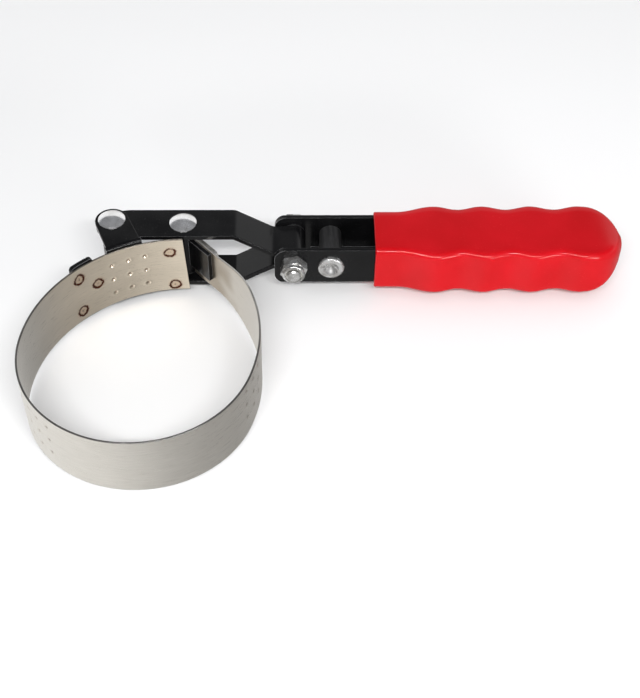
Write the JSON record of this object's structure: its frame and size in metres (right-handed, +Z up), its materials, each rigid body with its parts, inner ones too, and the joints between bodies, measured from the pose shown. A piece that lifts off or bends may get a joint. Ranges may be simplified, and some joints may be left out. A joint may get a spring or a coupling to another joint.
{
  "type": "oil filter wrench",
  "caption": "Band-type oil filter wrench: a steel strap is tightened round a filter by a folded-strap lever on two pivots, turned by a swivelling handle with a ribbed soft grip.",
  "frame": {"origin": "centre of the band's round front arc, at half the band's height", "axes": "+X along the handle towards the grip, +Y from the filter towards the lever, +Z up along the filter's axis"},
  "size_m": [0.2438, 0.1316, 0.0356],
  "materials": {
    "band_steel": "satin rolled stainless strip",
    "black_paint": "glossy black enamel",
    "bright_plating": "bright plated",
    "dark_steel": "dark blackened steel, satin",
    "nylon": "translucent nylon",
    "red_vinyl": "glossy dipped vinyl"
  },
  "bodies": {
    "shoe": {"band_shoe_stretch": "band_steel", "shoe_bracket": "black_paint", "shoe_pivot_rivet": "bright_plating", "shoe_pivot_spacer": "dark_steel"},
    "lever": {"lever_strap": "black_paint", "end_pivot_rivet": "bright_plating"},
    "band_1": {"band_stretch_1": "band_steel"},
    "band_2": {"band_stretch_2": "band_steel"},
    "band_3": {"band_stretch_3": "band_steel"},
    "band_4": {"band_stretch_4": "band_steel"},
    "band_5": {"band_stretch_5": "band_steel"},
    "band_end": {"band_tongue": "band_steel", "band_end_tab": "band_steel", "end_bracket": "black_paint"},
    "handle": {"handle_channel": "black_paint", "swivel_bolt": "bright_plating", "lock_nut": "bright_plating", "lock_nut_insert": "nylon", "friction_washers": "dark_steel", "cross_rivet": "bright_plating", "cross_rivet_spacer": "dark_steel", "grip": "red_vinyl"}
  },
  "joints": [
    {"name": "lever_pivot", "type": "hinge", "parent": "shoe", "child": "lever", "pos_m": [-0.01535, 0.0697, 0], "axis": [0, 0, 1], "range_deg": [-2, 20]},
    {"name": "handle_swivel", "type": "hinge", "parent": "lever", "child": "handle", "pos_m": [0.0596, 0.0697, 0], "axis": [0, 1, 0], "range_deg": [-75, 75]},
    {"name": "band_flex_1", "type": "hinge", "parent": "shoe", "child": "band_1", "pos_m": [-0.0332, 0.03552, 0], "axis": [0, 0, 1], "range_deg": [-0.79, 5.23]},
    {"name": "band_flex_2", "type": "hinge", "parent": "band_1", "child": "band_2", "pos_m": [-0.04538, -0.00144, 0], "axis": [0, 0, 1], "range_deg": [-0.62, 3.49]},
    {"name": "band_flex_3", "type": "hinge", "parent": "band_2", "child": "band_3", "pos_m": [-0.02805, -0.0357, 0], "axis": [0, 0, 1], "range_deg": [-0.4, 1.33]},
    {"name": "band_flex_4", "type": "hinge", "parent": "band_3", "child": "band_4", "pos_m": [0.00933, -0.04443, 0], "axis": [0, 0, 1], "range_deg": [-1.7, 0.44]},
    {"name": "band_flex_5", "type": "hinge", "parent": "band_4", "child": "band_5", "pos_m": [0.04004, -0.02141, 0], "axis": [0, 0, 1], "range_deg": [-2.61, 0.53]},
    {"name": "band_flex_6", "type": "hinge", "parent": "band_5", "child": "band_end", "pos_m": [0.04591, 0.01718, 0], "axis": [0, 0, 1], "range_deg": [-2.07, 0.48]}
  ],
  "couplings": [
    {"joint": "band_flex_1", "follows": "lever_pivot", "ratio": 0.2465},
    {"joint": "band_flex_2", "follows": "lever_pivot", "ratio": 0.1595},
    {"joint": "band_flex_3", "follows": "lever_pivot", "ratio": 0.0513},
    {"joint": "band_flex_4", "follows": "lever_pivot", "ratio": -0.0701},
    {"joint": "band_flex_5", "follows": "lever_pivot", "ratio": -0.1155},
    {"joint": "band_flex_6", "follows": "lever_pivot", "ratio": -0.0887}
  ]
}
